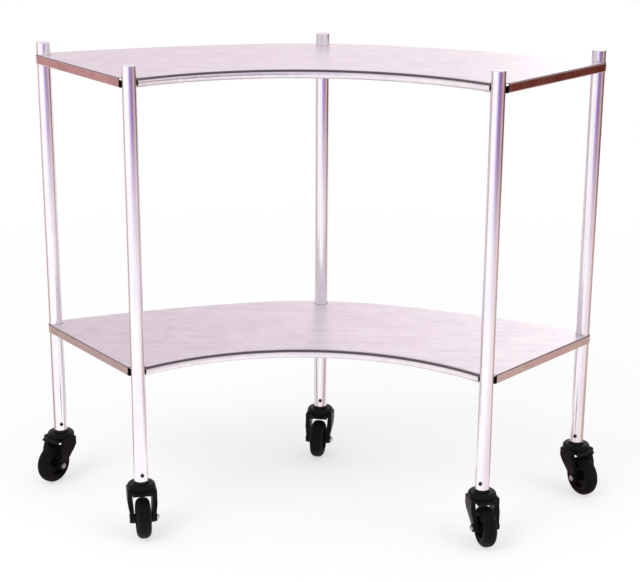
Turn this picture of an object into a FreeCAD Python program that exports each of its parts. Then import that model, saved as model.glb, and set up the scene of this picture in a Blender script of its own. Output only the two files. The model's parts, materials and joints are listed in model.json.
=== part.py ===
import FreeCAD, Part
import math
import os

# Curved instrument trolley: two folded sheet shelves on five tube legs, each leg on a swivel caster.
# The origin is on the floor under the middle of the whole trolley, +Z is up, +X is to the right and
# the concave front edge faces -Y. Lengths are in millimetres and angles in degrees.

V = FreeCAD.Vector
os.makedirs("parts", exist_ok=True)

# Stance of the legs, between tube centres
front_leg_spacing = 622.0
rear_leg_spacing = 1012.0
rear_leg_setback = 234.0
middle_leg_setback = 392.0

# Leg tubes and their top caps
overall_height = 864.0
tube_diameter = 25.4
tube_wall = 1.2
cap_thickness = 1.5
cap_chamfer = 0.4
cap_spigot_length = 9.0
spigot_clearance = 0.1

# Shelves, folded from sheet
leg_above_shelf = 21.5
lower_shelf_height = 322.0
sheet = 1.2
flange_depth = 17.5
lip_width = 9.0
lip_return_height = 11.0
bend_radius = 2.6
front_roll_radius = 7.5
front_roll_depth = 16.0
front_centre_setback = 339.0
front_edge_setback = 4.0
rear_middle_radius = 560.0
rear_flank_radius = 2000.0
flange_clearance = 0.4
hole_clearance = 0.1
weld_leg = 3.0
weld_sweep = 100.0

# Wheels
wheel_diameter = 75.0
tyre_width = 26.0
tyre_thickness = 11.0
tyre_shoulder_radius = 10.5
tyre_seat_clearance = 0.05
rim_overhang = 2.0
rim_wall = 4.5
web_thickness = 8.0
hub_boss_wall = 4.0
hub_end_gap = 0.5

# Axles, with the head and the nut sunk in the arms
axle_diameter = 6.0
axle_clearance = 0.05
sleeve_wall = 1.95
sleeve_overhang = 1.0
axle_head_flats = 10.0
axle_head_height = 4.0
axle_nut_height = 7.0
axle_end_length = 1.5
counterbore_side_gap = 0.8

# Forks
trail = 24.0
wheel_top_gap = 8.0
crown_side_gap = 5.5
foot_side_gap = 2.0
arm_shoulder_thickness = 8.5
arm_foot_thickness = 6.0
axle_boss_radius = 9.0
axle_pad_radius = 8.2
axle_pad_height = 4.0
shoulder_front = 14.0
shoulder_rear = 20.0
shoulder_height = 7.0
shoulder_round = 3.0
knee_drop = 10.0
waist_drop = 20.0
hood_reach = 33.0
hood_edge = 4.0
hood_round = 2.0
crown_height = 15.0
crown_round = 6.0
crown_step = 1.0

# Swivel bearings and stems
stem_diameter = 12.0
running_clearance = 0.05
stem_engagement = 36.0
insert_length = 40.0
insert_clearance = 0.1
collar_height = 2.0
collar_step = 0.6
collar_foot_radius = 8.5
collar_foot_height = 1.0
race_flange_gap = 0.4
race_flange_thickness = 2.6
race_flange_overlap = 1.8
ball_diameter = 5.0
ball_count = 10
ball_seat_gap = 0.1
ball_top_gap = 0.3
race_wall = 1.0
pocket_side_gap = 1.0
lock_nut_flats = 19.0
lock_nut_height = 5.0
lock_nut_gap = 0.3
recess_side_gap = 1.5
recess_depth = 5.0

# Set screws that hold the plugs in the tubes
set_screw_diameter = 5.0
set_screw_clearance = 0.05
set_screw_head_diameter = 7.0
set_screw_head_height = 1.6
set_screw_socket_flats = 3.0
set_screw_socket_depth = 1.2
set_screw_rise = 13.0
set_screw_tip_gap = 0.4

# How far each caster is turned at rest: 0 trails straight to the front, positive towards +X
swivel_angle = {
    "front_left": 14.0,
    "front_right": 16.0,
    "rear_left": -32.0,
    "rear_right": 32.0,
    "rear_middle": -7.0,
}

# Which way each leg's set screw faces: 0 straight to the front, positive towards +X
screw_angle = {
    "front_left": 20.0,
    "front_right": -20.0,
    "rear_left": 20.0,
    "rear_right": -20.0,
    "rear_middle": 0.0,
}

# Which way along its axle each nut sits: 1 to the right of a caster that trails to the front, -1 to the left
nut_side = {
    "front_left": 1,
    "front_right": -1,
    "rear_left": 1,
    "rear_right": -1,
    "rear_middle": 1,
}

# Slope of the chamfers on nuts and bolt heads
hex_chamfer_angle = 30.0

# Points this close are the same
same_point = 0.001

# Sizes that follow from those above
tube_radius = tube_diameter / 2
bore_radius = tube_radius - tube_wall
leg_inset = tube_radius + flange_clearance + sheet
hole_radius = tube_radius + hole_clearance
upper_shelf_height = overall_height - leg_above_shelf
wheel_radius = wheel_diameter / 2
axle_radius = axle_diameter / 2
sleeve_radius = axle_radius + axle_clearance + sleeve_wall
rim_radius = wheel_radius - tyre_thickness
tyre_side = tyre_width / 2
sleeve_end = tyre_side + sleeve_overhang
crown_gap = tyre_side + crown_side_gap
foot_gap = tyre_side + foot_side_gap
fork_half_width = crown_gap + arm_shoulder_thickness
foot_half_width = foot_gap + arm_foot_thickness
crown_radius = fork_half_width - crown_step
pad_face = foot_half_width + axle_pad_height
counterbore_floor = pad_face - axle_head_height
counterbore_radius = axle_head_flats / math.sqrt(3) + counterbore_side_gap
crown_floor = wheel_diameter + wheel_top_gap
crown_top = crown_floor + crown_height
shoulder_top = crown_floor + shoulder_height
race_flange_bottom = crown_top + race_flange_gap
race_flange_top = race_flange_bottom + race_flange_thickness
leg_bottom = race_flange_top + collar_height
stem_radius = stem_diameter / 2
ball_radius = ball_diameter / 2
ball_ring_radius = stem_radius + race_wall + ball_radius
ball_height = race_flange_bottom - ball_top_gap - ball_radius
pocket_radius = ball_ring_radius + ball_radius + pocket_side_gap
pocket_floor = ball_height - ball_radius - ball_seat_gap
race_flange_radius = pocket_radius + race_flange_overlap
recess_top = crown_floor + recess_depth
lock_nut_top = recess_top - lock_nut_gap
lock_nut_bottom = lock_nut_top - lock_nut_height
recess_radius = lock_nut_flats / math.sqrt(3) + recess_side_gap


def wheel_reach(angle):
    """How far a wheel reaches ahead of its swivel axis, along a direction at this angle to its trail."""
    along = abs(math.cos(math.radians(angle)))
    across = abs(math.sin(math.radians(angle)))
    tread = (wheel_radius - tyre_shoulder_radius) * along
    side = (tyre_side - tyre_shoulder_radius) * across
    return trail * along + tread + side + tyre_shoulder_radius


# The trolley's box, from the foremost wheel to the back of the middle leg's caster or shelves, is
# centred on the origin
front_reach = max(wheel_reach(swivel_angle["front_left"]), wheel_reach(swivel_angle["front_right"]))
rear_reach = max(leg_inset, crown_radius)
front_leg_y = (front_reach - middle_leg_setback - rear_reach) / 2
rear_leg_y = front_leg_y + rear_leg_setback
middle_leg_y = front_leg_y + middle_leg_setback

legs = {
    "front_left": V(-front_leg_spacing / 2, front_leg_y, 0),
    "front_right": V(front_leg_spacing / 2, front_leg_y, 0),
    "rear_left": V(-rear_leg_spacing / 2, rear_leg_y, 0),
    "rear_right": V(rear_leg_spacing / 2, rear_leg_y, 0),
    "rear_middle": V(0, middle_leg_y, 0),
}


def export(node, shape):
    shape.exportStep("parts/" + node + ".step")


def polygon(points):
    return Part.Face(Part.makePolygon(points + points[:1]))


def bar(section, way, rounds):
    """A bar of this section along a way, with corners of the section rounded: index to radius."""
    solid = polygon(section).extrude(way)
    for index, radius in rounds.items():
        near, far = section[index], section[index] + way
        ridge = []
        for edge in solid.Edges:
            ends = [vertex.Point for vertex in edge.Vertexes]
            if all(any(end.isEqual(goal, same_point) for end in ends) for goal in (near, far)):
                ridge.append(edge)
        solid = solid.makeFillet(radius, ridge)
    return solid


def turned(profile):
    """Solid turned about Z from (radius, height) points."""
    return polygon([V(r, 0, z) for r, z in profile]).revolve(V(0, 0, 0), V(0, 0, 1), 360)


def laid_across(solid):
    """A piece turned about Z, laid along the axle, at its height and trail."""
    solid.rotate(V(0, 0, 0), V(0, 1, 0), 90)
    solid.translate(V(0, -trail, wheel_radius))
    return solid


def hexagon(flats, bottom, height):
    corner = flats / math.sqrt(3)
    points = []
    for step in range(6):
        turn = math.radians(60 * step)
        points.append(V(corner * math.cos(turn), corner * math.sin(turn), bottom))
    return polygon(points).extrude(V(0, 0, height))


def hex_blank(flats, bottom, height):
    """A nut or bolt head without its hole, with the corners turned off at both faces."""
    corner = flats / math.sqrt(3)
    inside = flats / 2
    drop = (corner - inside) * math.tan(math.radians(hex_chamfer_angle))
    top = bottom + height
    envelope = turned([
        (0, bottom),
        (inside, bottom),
        (corner, bottom + drop),
        (corner, top - drop),
        (inside, top),
        (0, top),
    ])
    return hexagon(flats, bottom, height).common(envelope)


def cylinder(radius, bottom, top):
    return Part.makeCylinder(radius, top - bottom, V(0, 0, bottom))


def turned_at(shape, angle, place):
    """A piece made about the Z axis, turned by an angle and moved to its leg."""
    moved = shape.copy()
    moved.rotate(V(0, 0, 0), V(0, 0, 1), angle)
    moved.translate(legs[place])
    return moved


def at_leg(shape, place):
    """A piece of a leg whose set screw faces -Y, turned the way that leg's screw faces."""
    return turned_at(shape, screw_angle[place], place)


def at_caster(shape, place):
    """A piece of a caster that trails to -Y, turned to its angle at rest."""
    return turned_at(shape, swivel_angle[place], place)


# Shelf plan. The sides are straight and, like the rear, run at leg_inset outside the tube centres. The front
# is one arc, set back along the sides. The rear is an arc at the middle leg that runs into a flatter arc on
# each flank.
def mirrored(point):
    return V(-point.x, point.y, point.z)


front_leg = legs["front_right"]
rear_leg = legs["rear_right"]
front_centre = V(0, front_leg_y - front_centre_setback, 0)
rear_middle_centre = V(0, middle_leg_y + leg_inset - rear_middle_radius, 0)


def flank_angle():
    """Angle off the middle line where the middle arc runs into the flank that passes the rear leg."""
    to_leg = rear_leg - rear_middle_centre
    growth = rear_flank_radius - rear_middle_radius
    reach = (rear_flank_radius - leg_inset) ** 2 - to_leg.Length ** 2 - growth ** 2
    return math.atan2(to_leg.x, to_leg.y) - math.acos(reach / (2 * growth) / to_leg.Length)


def unit(vector):
    return V(vector).normalize()


def arc(start, middle, end):
    return Part.Arc(start, middle, end).toShape()


def arc_about(centre, start, end):
    """The shorter arc about a centre from start to end."""
    middle = unit(unit(start - centre) + unit(end - centre))
    return arc(start, centre + middle * (start - centre).Length, end)


junction_angle = flank_angle()
junction_way = V(math.sin(junction_angle), math.cos(junction_angle), 0)
flank_centre = rear_middle_centre - junction_way * (rear_flank_radius - rear_middle_radius)
side_way = unit(rear_leg - front_leg)
side_normal = V(side_way.y, -side_way.x, 0)
front_corner = front_leg + side_way * front_edge_setback
front_normal = unit(front_centre - front_corner)
rear_normal = unit(rear_leg - flank_centre)


def plan(offset):
    """The shelf's plan, drawn in from its outer face by an offset."""
    corner = leg_inset - offset
    front_end = front_corner + front_normal * corner
    side_front = front_corner + side_normal * corner
    side_rear = rear_leg + side_normal * corner
    rear_end = rear_leg + rear_normal * corner
    junction = rear_middle_centre + junction_way * (rear_middle_radius - offset)
    front_middle = front_centre + V(0, (front_end - front_centre).Length, 0)
    rear_middle = rear_middle_centre + V(0, rear_middle_radius - offset, 0)
    right = [
        arc_about(front_corner, front_end, side_front),
        Part.LineSegment(side_front, side_rear).toShape(),
        arc_about(rear_leg, side_rear, rear_end),
        arc_about(flank_centre, rear_end, junction),
    ]
    left = [edge.mirror(V(0, 0, 0), V(1, 0, 0)) for edge in right]
    front = arc(mirrored(front_end), front_middle, front_end)
    rear = arc(junction, rear_middle, mirrored(junction))
    edges = Part.sortEdges([front, rear] + right + left)[0]
    return Part.Face(Part.Wire(edges))


def plan_block(offset, bottom, top, fold):
    """A block of the plan with its upper and lower edges folded over to a radius."""
    face = plan(offset)
    face.translate(V(0, 0, bottom))
    block = face.extrude(V(0, 0, top - bottom))
    if not fold:
        return block
    level = [edge for edge in block.Edges if edge.BoundBox.ZLength < fold / 2]
    return block.makeFillet(fold, level)


def folded_sheet(top, fold):
    """A shelf whose upper face is at this height, with its edges folded to a radius."""
    bottom = top - flange_depth
    folded = plan_block(0, bottom, top, fold)
    hollow = plan_block(sheet, bottom + sheet, top - sheet, fold - sheet)
    mouth = plan_block(lip_width, bottom - sheet, bottom + lip_return_height, 0)
    lip_return = plan_block(lip_width - sheet, bottom, bottom + lip_return_height, 0)
    tray = folded.cut(hollow).fuse(lip_return).cut(mouth)
    for leg in legs.values():
        hole = Part.makeCylinder(hole_radius, 2 * flange_depth, leg + V(0, 0, bottom - sheet))
        tray = tray.cut(hole)
    notch = 2 * leg_inset
    for place in ("front_left", "front_right"):
        corner = legs[place] + V(-notch, -notch, bottom - sheet)
        tray = tray.cut(Part.makeBox(2 * notch, notch, 2 * flange_depth, corner))
    return tray


def shelf(top):
    """A shelf with a rolled front edge between the front legs and folded edges elsewhere."""
    floor = top - 2 * flange_depth
    height = 3 * flange_depth
    strip_radius = (front_corner - front_centre).Length - leg_inset + front_roll_depth
    strip = Part.makeCylinder(strip_radius, height, V(front_centre.x, front_centre.y, floor))
    between_legs = V(-front_leg.x, front_centre.y, floor)
    strip = strip.common(Part.makeBox(2 * front_leg.x, 2 * strip_radius, height, between_legs))
    rolled = folded_sheet(top, front_roll_radius).common(strip)
    return folded_sheet(top, bend_radius).cut(strip).fuse(rolled).removeSplitter().Solids[0]


def weld_bead(place, height):
    """Fillet weld under a sheet, round the side of the leg that faces into the shelf."""
    outward = {
        "front_left": mirrored(front_normal + side_normal),
        "front_right": front_normal + side_normal,
        "rear_left": mirrored(side_normal + rear_normal),
        "rear_right": side_normal + rear_normal,
        "rear_middle": V(0, 1, 0),
    }[place]
    inward = math.degrees(math.atan2(-outward.y, -outward.x))
    section = polygon([V(hole_radius, 0, 0), V(hole_radius + weld_leg, 0, 0), V(hole_radius, 0, -weld_leg)])
    bead = section.revolve(V(0, 0, 0), V(0, 0, 1), weld_sweep)
    bead.rotate(V(0, 0, 0), V(0, 0, 1), inward - weld_sweep / 2)
    bead.translate(legs[place] + V(0, 0, height))
    return bead


shelf_heights = {"upper_shelf": upper_shelf_height, "lower_shelf": lower_shelf_height}
for name, height in shelf_heights.items():
    export(name, shelf(height))
    export(name + "_welds", Part.makeCompound([weld_bead(place, height - sheet) for place in legs]))


# Legs
tube_top = overall_height - cap_thickness


def laid_ahead(solid):
    """A piece turned about Z, laid to point to the front at the height of the set screws."""
    solid.rotate(V(0, 0, 0), V(1, 0, 0), 90)
    solid.translate(V(0, 0, leg_bottom + set_screw_rise))
    return solid


def set_screw_hole():
    return laid_ahead(cylinder(set_screw_diameter / 2 + set_screw_clearance, 0, 2 * tube_radius))


def leg_tube():
    tube = cylinder(tube_radius, leg_bottom, tube_top).cut(cylinder(bore_radius, leg_bottom, tube_top))
    return tube.cut(set_screw_hole())


def leg_cap():
    spigot_radius = bore_radius - spigot_clearance
    rim = tube_radius - cap_chamfer
    return turned([
        (0, tube_top - cap_spigot_length),
        (spigot_radius, tube_top - cap_spigot_length),
        (spigot_radius, tube_top),
        (tube_radius, tube_top),
        (tube_radius, overall_height - cap_chamfer),
        (rim, overall_height),
        (0, overall_height),
    ])


def leg_insert():
    """Threaded plug pressed into the tube's lower end."""
    plug = cylinder(bore_radius - insert_clearance, leg_bottom, leg_bottom + insert_length)
    plug = plug.cut(cylinder(stem_radius + running_clearance, leg_bottom, leg_bottom + insert_length))
    return plug.cut(set_screw_hole())


def set_screw():
    """Screw through the tube and the plug, its tip just short of the stem."""
    head_top = tube_radius + set_screw_head_height
    shank = cylinder(set_screw_diameter / 2, stem_radius + set_screw_tip_gap, tube_radius)
    head = cylinder(set_screw_head_diameter / 2, tube_radius, head_top)
    socket = hexagon(set_screw_socket_flats, head_top - set_screw_socket_depth, set_screw_socket_depth)
    return laid_ahead(shank.fuse(head).cut(socket).removeSplitter())


# Stems and lock nuts, which stay with the legs while the forks swivel
def stem():
    collar_radius = tube_radius - collar_step
    return turned([
        (0, lock_nut_bottom),
        (stem_radius, lock_nut_bottom),
        (stem_radius, race_flange_bottom),
        (race_flange_radius, race_flange_bottom),
        (race_flange_radius, race_flange_top),
        (collar_foot_radius, race_flange_top),
        (collar_foot_radius, race_flange_top + collar_foot_height),
        (collar_radius, leg_bottom),
        (stem_radius, leg_bottom),
        (stem_radius, leg_bottom + stem_engagement),
        (0, leg_bottom + stem_engagement),
    ])


def lock_nut():
    nut = hex_blank(lock_nut_flats, lock_nut_bottom, lock_nut_height)
    return nut.cut(cylinder(stem_radius + running_clearance, lock_nut_bottom, lock_nut_top))


# Forks. A domed crown on square shoulders, with two arms that reach back to the axle.
def tangent_point(point, side):
    """Where a line from a (trail, height) point touches the rim of the axle boss."""
    run = point[0] - trail
    rise = point[1] - wheel_radius
    turn = math.atan2(rise, run) + side * math.acos(axle_boss_radius / math.hypot(run, rise))
    return (trail + axle_boss_radius * math.cos(turn), wheel_radius + axle_boss_radius * math.sin(turn))


def arm_side():
    """The arms as seen from the side, cut through the whole width of the fork."""
    front_knee = (-shoulder_front, crown_floor - knee_drop)
    rear_knee = (shoulder_rear, crown_floor - knee_drop)
    outline = [
        (-shoulder_front, shoulder_top),
        front_knee,
        tangent_point(front_knee, 1),
        tangent_point(rear_knee, -1),
        rear_knee,
        (shoulder_rear, shoulder_top),
    ]
    section = [V(-fork_half_width, -t, z) for t, z in outline]
    rounds = {0: shoulder_round, len(outline) - 1: shoulder_round}
    blade = bar(section, V(2 * fork_half_width, 0, 0), rounds)
    boss = cylinder(axle_boss_radius, -fork_half_width, fork_half_width)
    return blade.fuse(laid_across(boss))


def arm_front():
    """The arms as seen from the front: full width down to the waist, tapering to the foot."""
    foot = wheel_radius - axle_boss_radius
    reach = trail + hood_reach + axle_boss_radius
    half = [
        V(fork_half_width, -reach, shoulder_top),
        V(fork_half_width, -reach, crown_floor - waist_drop),
        V(foot_half_width, -reach, foot),
        V(foot_gap, -reach, foot),
        V(crown_gap, -reach, crown_floor),
    ]
    section = half + [mirrored(point) for point in reversed(half)]
    return bar(section, V(0, 2 * reach, 0), {0: shoulder_round, len(section) - 1: shoulder_round})


def hood():
    """The shade that reaches back from the crown over the wheel, between the arms."""
    edge_top = crown_floor + hood_edge
    outline = [
        (0, crown_floor),
        (hood_reach, crown_floor),
        (hood_reach, edge_top),
        (shoulder_rear, shoulder_top),
        (0, shoulder_top),
    ]
    section = [V(-crown_gap, -t, z) for t, z in outline]
    return bar(section, V(2 * crown_gap, 0, 0), {2: hood_round})


def fork():
    crown = cylinder(crown_radius, crown_floor, crown_top)
    rim = [edge for edge in crown.Edges if edge.BoundBox.ZMin > crown_top - crown_height / 2]
    body = arm_side().common(arm_front()).fuse(crown.makeFillet(crown_round, rim)).fuse(hood())
    for face in (sleeve_end, -pad_face):
        pad = cylinder(axle_pad_radius, face, face + pad_face - sleeve_end)
        body = body.fuse(laid_across(pad))
    body = body.cut(cylinder(pocket_radius, pocket_floor, race_flange_bottom))
    body = body.cut(cylinder(stem_radius + running_clearance, crown_floor, crown_top))
    body = body.cut(cylinder(recess_radius, lock_nut_bottom, recess_top))
    body = body.cut(laid_across(cylinder(axle_radius + axle_clearance, -pad_face, pad_face)))
    for face in (counterbore_floor, -fork_half_width):
        bore = cylinder(counterbore_radius, face, face + fork_half_width - counterbore_floor)
        body = body.cut(laid_across(bore))
    return body.removeSplitter().Solids[0]


def ball_ring():
    balls = []
    for step in range(ball_count):
        turn = 2 * math.pi * step / ball_count
        centre = V(ball_ring_radius * math.cos(turn), ball_ring_radius * math.sin(turn), ball_height)
        balls.append(Part.makeSphere(ball_radius, centre))
    return Part.makeCompound(balls)


# Axles and wheels
def axle_bolt():
    end = counterbore_floor + axle_nut_height + axle_end_length
    head = hex_blank(axle_head_flats, -pad_face, axle_head_height)
    return laid_across(head.fuse(cylinder(axle_radius, -counterbore_floor, end)).removeSplitter())


def axle_nut():
    top = counterbore_floor + axle_nut_height
    nut = hex_blank(axle_head_flats, counterbore_floor, axle_nut_height)
    return laid_across(nut.cut(cylinder(axle_radius + axle_clearance, counterbore_floor, top)))


def axle_sleeve():
    bore = cylinder(axle_radius + axle_clearance, -sleeve_end, sleeve_end)
    return laid_across(cylinder(sleeve_radius, -sleeve_end, sleeve_end).cut(bore))


def wheel_hub():
    """Boss on the sleeve, a thin web and the rim that carries the tyre."""
    bore = sleeve_radius + running_clearance
    boss = bore + hub_boss_wall
    boss_end = sleeve_end - hub_end_gap
    web = web_thickness / 2
    rim_end = tyre_side - rim_overhang
    rim_inside = rim_radius - rim_wall
    half = [
        (bore, boss_end),
        (boss, boss_end),
        (boss, web),
        (rim_inside, web),
        (rim_inside, rim_end),
        (rim_radius, rim_end),
    ]
    return laid_across(turned(half + [(r, -z) for r, z in reversed(half)]))


def tyre():
    seat = rim_radius + tyre_seat_clearance
    ring = cylinder(wheel_radius, -tyre_side, tyre_side).cut(cylinder(seat, -tyre_side, tyre_side))
    shoulders = [edge for edge in ring.Edges if edge.BoundBox.XMax > seat + tyre_thickness / 2
                 and edge.BoundBox.ZLength < tyre_shoulder_radius]
    return laid_across(ring.makeFillet(tyre_shoulder_radius, shoulders))


def faced(piece, side):
    """An axle piece, turned end for end where the nut sits on the left."""
    if side > 0:
        return piece
    turned_round = piece.copy()
    turned_round.rotate(V(0, -trail, 0), V(0, 0, 1), 180)
    return turned_round


leg_pieces = {
    "leg_tube": leg_tube(),
    "leg_cap": leg_cap(),
    "caster_stem": stem(),
}
axle_pieces = {
    "axle_bolt": axle_bolt(),
    "axle_nut": axle_nut(),
}
caster_pieces = {
    "caster_fork": fork(),
    "swivel_balls": ball_ring(),
    "axle_sleeve": axle_sleeve(),
    "wheel_hub": wheel_hub(),
    "wheel_tyre": tyre(),
}
for place in legs:
    for name, piece in leg_pieces.items():
        export(name + "_" + place, at_leg(piece, place))
    for name, piece in caster_pieces.items():
        export(name + "_" + place, at_caster(piece, place))
    for name, piece in axle_pieces.items():
        export(name + "_" + place, at_caster(faced(piece, nut_side[place]), place))

# One node each for the plugs, nuts and screws that are alike
export("leg_inserts", Part.makeCompound([at_leg(leg_insert(), place) for place in legs]))
export("stem_lock_nuts", Part.makeCompound([at_leg(lock_nut(), place) for place in legs]))
export("leg_set_screws", Part.makeCompound([at_leg(set_screw(), place) for place in legs]))
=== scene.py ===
import json
import math

import bpy
from mathutils import Matrix, Vector

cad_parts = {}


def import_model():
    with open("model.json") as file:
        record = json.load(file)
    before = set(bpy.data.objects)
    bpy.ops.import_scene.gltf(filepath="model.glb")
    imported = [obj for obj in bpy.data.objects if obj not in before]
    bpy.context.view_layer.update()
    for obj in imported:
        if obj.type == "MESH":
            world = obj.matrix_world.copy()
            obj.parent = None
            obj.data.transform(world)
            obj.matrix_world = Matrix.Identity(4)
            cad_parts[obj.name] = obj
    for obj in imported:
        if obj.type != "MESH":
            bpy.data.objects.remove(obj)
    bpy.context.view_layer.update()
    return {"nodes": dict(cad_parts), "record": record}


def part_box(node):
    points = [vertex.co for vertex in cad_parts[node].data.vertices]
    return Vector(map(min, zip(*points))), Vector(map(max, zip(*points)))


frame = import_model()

scene = bpy.context.scene

# Sizes of the trolley, in metres
joints = frame["record"]["behaviour"]["joints"]
leg_axes = [joint["pos_m"] for joint in joints if joint["name"].endswith("_swivel")]
tube_low, tube_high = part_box("leg_tube_front_left")
tube_radius = (tube_high[0] - tube_low[0]) / 2
upper_top, lower_top = (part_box(name)[1][2] for name in ("upper_shelf", "lower_shelf"))
roll_radius = 0.0075  # of the bend along the shelves' front edges
bend_radius = 0.0026  # of the bends along their other edges
flange_top = 0.101  # height of the stems' bearing flanges

noise_low, noise_high = 0.3, 0.7  # where most values of a noise lie


# Node helpers
def add(tree, kind, **settings):
    """A new node with its settings."""
    node = tree.nodes.new(kind)
    for key, value in settings.items():
        setattr(node, key, value)
    return node


def wire(tree, source, target):
    """A link from an output to an input."""
    tree.links.new(source, target)


def maths(tree, operation, first, second=None):
    """A maths node. An operand is a number or another node's output."""
    node = add(tree, "ShaderNodeMath", operation=operation)
    for socket, value in zip(node.inputs, (first, second)):
        if value is None:
            continue
        if isinstance(value, (int, float)):
            socket.default_value = value
        else:
            wire(tree, value, socket)
    return node.outputs[0]


def times(tree, first, second):
    """The product of two values."""
    return maths(tree, "MULTIPLY", first, second)


def ramp(tree, factor, stops, interpolation="LINEAR"):
    """A colour ramp from (position, colour) stops."""
    node = add(tree, "ShaderNodeValToRGB")
    node.color_ramp.interpolation = interpolation
    elements = node.color_ramp.elements
    while len(elements) < len(stops):
        elements.new(0.5)
    for element, (position, colour) in zip(elements, stops):
        element.position = position
        element.color = (*colour, 1.0)
    wire(tree, factor, node.inputs["Fac"])
    return node.outputs["Color"]


def span(tree, value, low, high, out_low=0.0, out_high=1.0):
    """A value mapped smoothly from one span to another."""
    node = add(tree, "ShaderNodeMapRange", interpolation_type="SMOOTHSTEP")
    wire(tree, value, node.inputs["Value"])
    node.inputs["From Min"].default_value = low
    node.inputs["From Max"].default_value = high
    node.inputs["To Min"].default_value = out_low
    node.inputs["To Max"].default_value = out_high
    return node.outputs["Result"]


def fade(tree, value, start, end):
    """1 up to the start, falling smoothly to 0 at the end."""
    return span(tree, value, start, end, 1.0, 0.0)


def mix_colour(tree, factor, first, second):
    """Two colours mixed by a factor. A colour is a tuple or another node's output."""
    node = add(tree, "ShaderNodeMix", data_type="RGBA")
    sockets = {s.identifier: s for s in node.inputs}
    wire(tree, factor, sockets["Factor_Float"])
    for name, value in (("A_Color", first), ("B_Color", second)):
        if isinstance(value, tuple):
            sockets[name].default_value = (*value, 1.0)
        else:
            wire(tree, value, sockets[name])
    return next(s for s in node.outputs if s.identifier == "Result_Color")


def blended(tree, factor, first, second):
    """Two values mixed by a factor."""
    node = add(tree, "ShaderNodeMix", data_type="FLOAT")
    sockets = {s.identifier: s for s in node.inputs}
    wire(tree, factor, sockets["Factor_Float"])
    wire(tree, first, sockets["A_Float"])
    wire(tree, second, sockets["B_Float"])
    return next(s for s in node.outputs if s.identifier == "Result_Float")


def axes(tree, coordinate):
    """The X, Y and Z of a texture coordinate."""
    node = add(tree, "ShaderNodeSeparateXYZ")
    wire(tree, add(tree, "ShaderNodeTexCoord").outputs[coordinate], node.inputs[0])
    return node.outputs["X"], node.outputs["Y"], node.outputs["Z"]


def noise(tree, scale, stretch=(1.0, 1.0, 1.0), detail=3.0, roughness=0.55):
    """Noise in the piece's own coordinates, in metres. A stretch below 1 draws it out along that
    axis."""
    place = add(tree, "ShaderNodeTexCoord")
    mapping = add(tree, "ShaderNodeMapping")
    mapping.inputs["Scale"].default_value = stretch
    wire(tree, place.outputs["Object"], mapping.inputs["Vector"])
    node = add(tree, "ShaderNodeTexNoise")
    node.inputs["Scale"].default_value = scale
    node.inputs["Detail"].default_value = detail
    node.inputs["Roughness"].default_value = roughness
    wire(tree, mapping.outputs["Vector"], node.inputs["Vector"])
    return node.outputs["Fac"]


def bump(tree, height, strength, distance):
    """A normal for a height, with the distance in metres."""
    node = add(tree, "ShaderNodeBump")
    node.inputs["Strength"].default_value = strength
    node.inputs["Distance"].default_value = distance
    wire(tree, height, node.inputs["Height"])
    return node.outputs["Normal"]


def material(name, **constants):
    """A material whose shader has these constant values."""
    made = bpy.data.materials.new(name)
    made.use_nodes = True
    shader = made.node_tree.nodes["Principled BSDF"]
    for key, value in constants.items():
        shader.inputs[key.replace("_", " ")].default_value = value
    return made, made.node_tree, shader


def paint(tree, shader, factor, stops):
    """The base colour, from a ramp."""
    wire(tree, ramp(tree, factor, stops), shader.inputs["Base Color"])


def mark(tree, shader, marks, rough_low, rough_high, strength, distance):
    """Roughness and bump that follow the same fine marks."""
    rough = span(tree, marks, noise_low, noise_high, rough_low, rough_high)
    wire(tree, rough, shader.inputs["Roughness"])
    wire(tree, bump(tree, marks, strength, distance), shader.inputs["Normal"])


# Metals
def near_legs(tree, start, end):
    """1 at the legs, falling to 0 between two distances from the tubes."""
    x, y, _ = axes(tree, "Object")
    plan = add(tree, "ShaderNodeCombineXYZ")
    wire(tree, x, plan.inputs["X"])
    wire(tree, y, plan.inputs["Y"])
    nearest = None
    for leg_x, leg_y, _ in leg_axes:
        leg = add(tree, "ShaderNodeVectorMath", operation="DISTANCE")
        wire(tree, plan.outputs["Vector"], leg.inputs[0])
        leg.inputs[1].default_value = (leg_x, leg_y, 0.0)
        away = leg.outputs["Value"]
        nearest = away if nearest is None else maths(tree, "MINIMUM", nearest, away)
    return fade(tree, nearest, tube_radius + start, tube_radius + end)


def cut_edge_shade(tree, facing):
    """1 at the sheet's cut ends beside the front legs and where it is cut out round the legs,
    where shade is painted.
    """
    ends = times(tree, fade(tree, facing[1], -0.97, -0.90), near_legs(tree, 0.0075, 0.0085))
    return maths(tree, "MAXIMUM", ends, near_legs(tree, 0.0004, 0.0013))


def front_bend_reflection(tree, facing):
    """1 in a band along the bends that look forward, where a dark reflection is painted. The band
    is set by how far the sheet has come down from the shelf's top, as a share of the bend's
    radius."""
    x, _, z = axes(tree, "Object")
    drop = maths(tree, "MODULO", maths(tree, "SUBTRACT", upper_top, z), upper_top - lower_top)
    outward = times(tree, x, facing[0])
    radius = span(tree, outward, 0.03, 0.08, roll_radius, bend_radius)
    depth = maths(tree, "DIVIDE", drop, radius)
    band = times(tree, span(tree, depth, 0.11, 0.22), fade(tree, depth, 0.60, 0.76))
    forward = times(tree, fade(tree, facing[1], -0.15, -0.05), span(tree, facing[2], 0.02, 0.12))
    return times(tree, forward, band)


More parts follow.
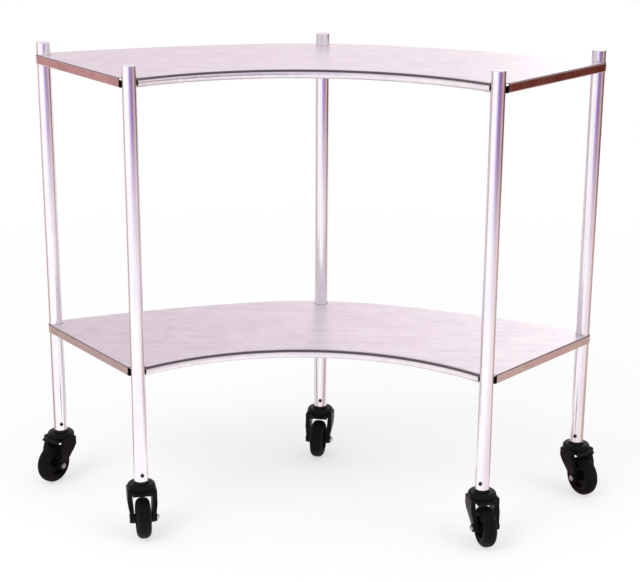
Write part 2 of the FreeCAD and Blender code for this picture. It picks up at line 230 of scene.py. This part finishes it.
def satin_sheet():
    """Stainless sheet with clouds and streaks, brushed along X, polished on the side flanges, with
    a painted dark reflection along the bends that look forward, and near-black painted shade in
    its folds and at its cut edges."""
    # colour of the painted dark reflection along the forward bends
    painted_reflection_tint = (0.160, 0.132, 0.145)
    # near-black painted shade for the folds and the cut edges
    painted_shade_tint = (0.030, 0.026, 0.030)
    fold_reach = 0.02
    made, tree, shader = material("satin_stainless_sheet", Metallic=1.0)
    facing = axes(tree, "Normal")
    cloud = noise(tree, 26.0, detail=4.0)
    streaks = noise(tree, 150.0, (0.03, 1.0, 1.0))
    tone = times(tree, maths(tree, "ADD", cloud, streaks), 0.5)
    clean = ramp(tree, tone, [
        (0.36, (0.762, 0.705, 0.748)),
        (0.50, (0.825, 0.772, 0.802)),
        (0.64, (0.880, 0.832, 0.846)),
    ])
    # painted reflection: the forward bends are darkened as if they mirrored a dark room
    with_painted_reflection = mix_colour(tree, front_bend_reflection(tree, facing), clean, painted_reflection_tint)
    # painted shade: ambient occlusion darkens the folds and the joints towards black
    fold_occlusion = add(tree, "ShaderNodeAmbientOcclusion", samples=8)
    fold_occlusion.inputs["Distance"].default_value = fold_reach
    fold_shade = fade(tree, fold_occlusion.outputs["AO"], 0.30, 0.70)
    painted_shade = maths(tree, "MAXIMUM", fold_shade, cut_edge_shade(tree, facing))
    wire(tree, mix_colour(tree, painted_shade, with_painted_reflection, painted_shade_tint), shader.inputs["Base Color"])
    polish = span(tree, maths(tree, "ABSOLUTE", facing[0]), 0.60, 0.72)
    grain = noise(tree, 900.0, (0.012, 1.0, 1.0), detail=2.0)
    brushed = span(tree, grain, noise_low, noise_high, 0.24, 0.36)
    bright = span(tree, cloud, noise_low, noise_high, 0.14, 0.18)
    wire(tree, blended(tree, polish, brushed, bright), shader.inputs["Roughness"])
    lines = times(tree, grain, maths(tree, "SUBTRACT", 1.0, polish))
    wire(tree, bump(tree, lines, 0.05, 0.0002), shader.inputs["Normal"])
    return made


def polished_tube():
    """Polished stainless tube with fine lines drawn along it and faint smears."""
    made, tree, shader = material("polished_stainless_tube", Metallic=1.0)
    smear = noise(tree, 30.0, (1.0, 1.0, 0.35), detail=4.0)
    paint(tree, shader, smear, [
        (noise_low, (0.860, 0.820, 0.870)),
        (noise_high, (0.930, 0.905, 0.935)),
    ])
    lines = noise(tree, 1500.0, (1.0, 1.0, 0.01), detail=2.0)
    mark(tree, shader, lines, 0.15, 0.23, 0.03, 0.0001)
    return made


def bright_cap():
    """Ground steel disc on top of a leg."""
    made, tree, shader = material("ground_steel_cap", Metallic=1.0)
    scratches = noise(tree, 1400.0, (0.03, 1.0, 1.0), detail=2.0)
    paint(tree, shader, scratches, [
        (noise_low, (0.880, 0.865, 0.880)),
        (noise_high, (0.950, 0.940, 0.950)),
    ])
    mark(tree, shader, scratches, 0.28, 0.42, 0.06, 0.0002)
    return made


def weld_bead():
    """Weld metal with heat colours and ripples."""
    made, tree, shader = material("weld_bead", Metallic=1.0)
    heat = noise(tree, 160.0, detail=2.0)
    paint(tree, shader, heat, [
        (0.28, (0.230, 0.250, 0.380)),
        (0.42, (0.470, 0.330, 0.330)),
        (0.56, (0.640, 0.500, 0.300)),
        (0.74, (0.600, 0.590, 0.600)),
    ])
    ripple = noise(tree, 700.0)
    mark(tree, shader, ripple, 0.32, 0.60, 0.5, 0.0006)
    return made


def turned(tree):
    """The fine lines of turned steel."""
    return noise(tree, 1600.0, (1.0, 1.0, 3.0), detail=2.0)


def passivation(tree, tint_low, tint_high):
    """The cloudy colours of plating."""
    return ramp(tree, noise(tree, 120.0), [(0.32, tint_low), (0.68, tint_high)])


def plated_steel(name, tint_low, tint_high, rough_low, rough_high):
    """Turned and plated steel."""
    made, tree, shader = material(name, Metallic=1.0)
    wire(tree, passivation(tree, tint_low, tint_high), shader.inputs["Base Color"])
    mark(tree, shader, turned(tree), rough_low, rough_high, 0.08, 0.0001)
    return made


def stem_steel():
    """Bright collar at the top, blackened bearing flange below it."""
    black = (0.010, 0.010, 0.011)
    edge = 0.0004
    made, tree, shader = material("stem_steel_black_flange")
    _, _, z = axes(tree, "Object")
    bright = span(tree, z, flange_top, flange_top + edge)
    zinc = passivation(tree, (0.78, 0.78, 0.82), (0.88, 0.88, 0.90))
    wire(tree, mix_colour(tree, bright, black, zinc), shader.inputs["Base Color"])
    wire(tree, bright, shader.inputs["Metallic"])
    rough = span(tree, turned(tree), noise_low, noise_high, 0.20, 0.30)
    wire(tree, rough, shader.inputs["Roughness"])
    return made


# Plastics and rubber
def moulded_black(name, dark, scuffed, rough_low, rough_high, grain_strength):
    """Black moulded material with a fine grain and a few paler scuffs."""
    made, tree, shader = material(name, Specular_IOR_Level=0.12)
    scuff = noise(tree, 55.0, detail=6.0, roughness=0.65)
    paint(tree, shader, scuff, [(0.55, dark), (0.80, scuffed)])
    wire(tree, span(tree, scuff, 0.35, 0.75, rough_low, rough_high), shader.inputs["Roughness"])
    grain = noise(tree, 1900.0, detail=2.0)
    wire(tree, bump(tree, grain, grain_strength, 0.0002), shader.inputs["Normal"])
    return made


looks = {
    "shelf_steel": satin_sheet(),
    "tube_steel": polished_tube(),
    "cap_steel": bright_cap(),
    "weld_steel": weld_bead(),
    "plug_steel": plated_steel(
        "turned_steel_plug", (0.42, 0.42, 0.43), (0.55, 0.55, 0.56), 0.30, 0.45),
    "zinc_steel": plated_steel(
        "zinc_plated_steel", (0.50, 0.51, 0.56), (0.62, 0.63, 0.66), 0.22, 0.36),
    "ball_steel": plated_steel(
        "bearing_ball_steel", (0.80, 0.80, 0.81), (0.90, 0.90, 0.91), 0.06, 0.10),
    "dark_screw": plated_steel(
        "black_oxide_screw", (0.030, 0.028, 0.035), (0.055, 0.052, 0.060), 0.32, 0.45),
    "fork_black": moulded_black(
        "black_fork_nylon", (0.003, 0.003, 0.0035), (0.009, 0.009, 0.010), 0.34, 0.50, 0.10),
    "hub_black": moulded_black(
        "black_hub_plastic", (0.004, 0.004, 0.004), (0.011, 0.011, 0.012), 0.40, 0.56, 0.10),
    "tyre_black": moulded_black(
        "black_tyre_rubber", (0.003, 0.003, 0.003), (0.012, 0.0115, 0.011), 0.60, 0.80, 0.16),
}
stem_look = stem_steel()
slot_of = {part["node"]: part["material_slot"] for part in frame["record"]["subparts"]}
for name, piece in frame["nodes"].items():
    look = stem_look if name.startswith("caster_stem") else looks[slot_of[name]]
    piece.data.materials.clear()
    piece.data.materials.append(look)


# Studio. White paper under and around the trolley, and a room beyond it. Only reflections show the
# room. Its colours go round by the way one looks: -Y at 0.5, +X at 0.75, -X at 0.25 and +Y at both
# ends.
near_ring = [  # the paper
    (0.000, (0.92, 0.90, 0.93)),
    (0.045, (0.62, 0.58, 0.63)),
    (0.095, (0.72, 0.67, 0.71)),
    (0.148, (1.02, 1.00, 1.00)),
    (0.176, (0.56, 0.42, 0.36)),
    (0.240, (0.56, 0.40, 0.37)),
    (0.262, (1.02, 1.00, 1.00)),
    (0.300, (1.12, 1.12, 1.12)),
    (0.550, (1.12, 1.11, 1.12)),
    (0.610, (1.02, 0.94, 0.99)),
    (0.670, (0.94, 0.84, 0.88)),
    (0.724, (0.94, 0.86, 0.85)),
    (0.748, (0.64, 0.47, 0.40)),
    (0.776, (0.60, 0.42, 0.36)),
    (0.835, (0.50, 0.36, 0.34)),
    (0.862, (0.95, 0.90, 0.88)),
    (0.890, (1.05, 1.05, 1.05)),
    (0.930, (0.80, 0.75, 0.77)),
    (1.000, (0.92, 0.90, 0.93)),
]
far_ring = [  # the floor beyond the paper
    (0.000, (0.95, 0.93, 0.98)),
    (0.035, (0.50, 0.42, 0.66)),
    (0.065, (0.22, 0.15, 0.34)),
    (0.100, (0.40, 0.30, 0.40)),
    (0.148, (1.02, 0.97, 0.99)),
    (0.172, (0.57, 0.29, 0.27)),
    (0.208, (0.57, 0.29, 0.27)),
    (0.234, (1.02, 0.99, 1.00)),
    (0.300, (1.15, 1.14, 1.15)),
    (0.435, (1.15, 1.12, 1.15)),
    (0.490, (0.78, 0.62, 0.97)),
    (0.535, (0.28, 0.14, 0.51)),
    (0.610, (0.17, 0.06, 0.23)),
    (0.655, (0.36, 0.19, 0.31)),
    (0.700, (0.62, 0.45, 0.49)),
    (0.750, (0.52, 0.31, 0.28)),
    (0.775, (0.13, 0.022, 0.012)),
    (0.815, (0.13, 0.022, 0.012)),
    (0.848, (0.20, 0.09, 0.08)),
    (0.880, (1.00, 0.96, 0.95)),
    (0.920, (1.15, 1.13, 1.14)),
    (0.960, (0.70, 0.62, 0.70)),
    (1.000, (0.95, 0.93, 0.98)),
]
low_ring = [  # the foot of the wall
    (0.000, (1.08, 0.985, 1.040)),
    (0.040, (1.08, 0.975, 1.030)),
    (0.120, (1.02, 0.92, 0.96)),
    (0.190, (0.72, 0.60, 0.60)),
    (0.250, (0.84, 0.80, 0.83)),
    (0.350, (0.95, 0.94, 0.96)),
    (0.450, (0.80, 0.79, 0.82)),
    (0.560, (0.92, 0.91, 0.94)),
    (0.640, (0.98, 0.97, 0.99)),
    (0.700, (0.86, 0.80, 0.81)),
    (0.790, (0.66, 0.52, 0.50)),
    (0.880, (0.86, 0.79, 0.82)),
    (0.938, (0.90, 0.83, 0.87)),
    (0.960, (1.12, 1.06, 1.09)),
    (0.970, (1.58, 1.55, 1.56)),
    (0.982, (1.58, 1.55, 1.56)),
    (0.991, (1.02, 0.92, 0.97)),
    (1.000, (1.08, 0.985, 1.040)),
]
high_ring = [  # the wall above
    (0.000, (1.02, 0.907, 0.985)),
    (0.014, (0.84, 0.720, 0.802)),
    (0.030, (0.68, 0.572, 0.658)),
    (0.065, (0.58, 0.482, 0.565)),
    (0.110, (0.64, 0.545, 0.615)),
    (0.180, (0.86, 0.80, 0.83)),
    (0.300, (0.92, 0.90, 0.92)),
    (0.420, (0.80, 0.78, 0.81)),
    (0.540, (0.90, 0.89, 0.91)),
    (0.700, (0.95, 0.93, 0.95)),
    (0.790, (0.78, 0.71, 0.70)),
    (0.870, (0.84, 0.78, 0.80)),
    (0.938, (0.90, 0.83, 0.87)),
    (0.958, (1.12, 1.06, 1.09)),
    (0.968, (1.50, 1.45, 1.47)),
    (0.977, (1.46, 1.41, 1.43)),
    (0.988, (1.16, 1.05, 1.11)),
    (1.000, (1.02, 0.907, 0.985)),
]

# Distances from the trolley's middle over which one surface gives way to the next
paper_to_floor = (1.7, 3.8)
floor_to_wall = (12.0, 22.0)
shadow_to_white = (0.5, 2.5)
# The same for how steeply one looks up, as the Z of that way
foot_to_wall = (0.14, 0.32)
wall_to_ceiling = (0.38, 0.55)
rear_ceiling, front_ceiling = (0.90, 0.89, 0.91), (0.62, 0.60, 0.64)
room_light = (0.86, 0.86, 0.86)
white = (1.0, 1.0, 1.0)


def ring(tree, x, y, stops):
    """A colour by the way one looks, from the x and y of that way."""
    turn = maths(tree, "ARCTAN2", x, times(tree, y, -1.0))
    share = maths(tree, "ADD", maths(tree, "DIVIDE", turn, 2 * math.pi), 0.5)
    return ramp(tree, share, stops, "EASE")


def world():
    """Even light, white for the camera, with the room for reflections."""
    made = bpy.data.worlds.new("studio")
    made.use_nodes = True
    made.cycles.sampling_method = "NONE"
    tree = made.node_tree
    x, y, z = axes(tree, "Generated")
    wall = mix_colour(tree, span(tree, z, *foot_to_wall),
                      ring(tree, x, y, low_ring), ring(tree, x, y, high_ring))
    ceiling = mix_colour(tree, span(tree, y, 0.10, -0.30), rear_ceiling, front_ceiling)
    room = mix_colour(tree, span(tree, z, *wall_to_ceiling), wall, ceiling)
    path = add(tree, "ShaderNodeLightPath")
    lit = mix_colour(tree, path.outputs["Is Glossy Ray"], room_light, room)
    plain = maths(tree, "MAXIMUM", path.outputs["Is Camera Ray"],
                  path.outputs["Is Transmission Ray"])
    sky = mix_colour(tree, plain, lit, white)
    wire(tree, sky, tree.nodes["Background"].inputs["Color"])
    scene.world = made


def floor():
    """White paper that keeps the trolley's shadow, with the rings for reflections."""
    reach = 30.0
    shadow_white = 0.58  # how white the camera sees the paper where the shadow lies
    mesh = bpy.data.meshes.new("floor")
    corners = [(-reach, -reach, 0), (reach, -reach, 0), (reach, reach, 0), (-reach, reach, 0)]
    mesh.from_pydata(corners, [], [(0, 1, 2, 3)])
    sheet = bpy.data.objects.new("floor", mesh)
    scene.collection.objects.link(sheet)
    made, tree, paper = material("white_paper", Roughness=0.9, Specular_IOR_Level=0.0)
    made.cycles.emission_sampling = "NONE"
    paint(tree, paper, noise(tree, 6.0, detail=2.0), [
        (noise_low, (0.925, 0.925, 0.925)),
        (noise_high, (0.935, 0.935, 0.935)),
    ])
    x, y, _ = axes(tree, "Object")
    away = maths(tree, "SQRT", maths(tree, "ADD", times(tree, x, x), times(tree, y, y)))
    ground = mix_colour(tree, span(tree, away, *paper_to_floor),
                        ring(tree, x, y, near_ring), ring(tree, x, y, far_ring))
    sight = mix_colour(tree, span(tree, away, *floor_to_wall), ground, ring(tree, x, y, low_ring))
    mirrored = add(tree, "ShaderNodeEmission")
    wire(tree, sight, mirrored.inputs["Color"])
    glow = add(tree, "ShaderNodeEmission")
    path = add(tree, "ShaderNodeLightPath")
    seen = add(tree, "ShaderNodeMixShader")
    whiteness = span(tree, away, *shadow_to_white, shadow_white, 1.0)
    wire(tree, times(tree, path.outputs["Is Camera Ray"], whiteness), seen.inputs["Fac"])
    wire(tree, paper.outputs["BSDF"], seen.inputs[1])
    wire(tree, glow.outputs["Emission"], seen.inputs[2])
    either = add(tree, "ShaderNodeMixShader")
    wire(tree, path.outputs["Is Glossy Ray"], either.inputs["Fac"])
    wire(tree, seen.outputs["Shader"], either.inputs[1])
    wire(tree, mirrored.outputs["Emission"], either.inputs[2])
    wire(tree, either.outputs["Shader"], tree.nodes["Material Output"].inputs["Surface"])
    mesh.materials.append(made)


def softbox(name, place, aim, size, power):
    """A square lamp that reflections don't show."""
    lamp = bpy.data.lights.new(name, "AREA")
    lamp.shape = "SQUARE"
    lamp.size = size
    lamp.energy = power
    lamp_object = bpy.data.objects.new(name, lamp)
    lamp_object.location = place
    lamp_object.rotation_mode = "QUATERNION"
    lamp_object.rotation_quaternion = (Vector(aim) - Vector(place)).to_track_quat("-Z", "Y")
    lamp_object.visible_glossy = False
    scene.collection.objects.link(lamp_object)


def camera():
    """The photograph's camera: its place, turn to the side, tilt down, roll and focal length in
    pixels, as fitted to the photograph."""
    image_width = 640
    focal_pixels = 1596.9
    place = Vector((0.12663, -2.84266, 1.31496))
    yaw, pitch, roll = (math.radians(angle) for angle in (-2.41721, 17.55937, 0.38662))
    forward = Vector((math.sin(yaw) * math.cos(pitch),
                      math.cos(yaw) * math.cos(pitch),
                      -math.sin(pitch)))
    level = Vector((math.cos(yaw), -math.sin(yaw), 0))
    upright = level.cross(forward)
    right = level * math.cos(roll) + upright * math.sin(roll)
    up = upright * math.cos(roll) - level * math.sin(roll)
    lens = bpy.data.cameras.new("camera")
    lens.sensor_fit = "HORIZONTAL"
    lens.lens = lens.sensor_width * focal_pixels / image_width
    lens.clip_end = 100.0
    view = bpy.data.objects.new("camera", lens)
    turn = Matrix((right, up, -forward)).transposed().to_4x4()
    view.matrix_world = Matrix.Translation(place) @ turn
    scene.collection.objects.link(view)
    scene.camera = view


world()
floor()
softbox("key", place=(-2.2, -2.4, 3.2), aim=(0, 0, 0.4), size=2.2, power=60.0)
softbox("fill", place=(2.6, -1.2, 2.8), aim=(0, 0, 0.4), size=2.0, power=25.0)
camera()
scene.view_settings.view_transform = "Standard"
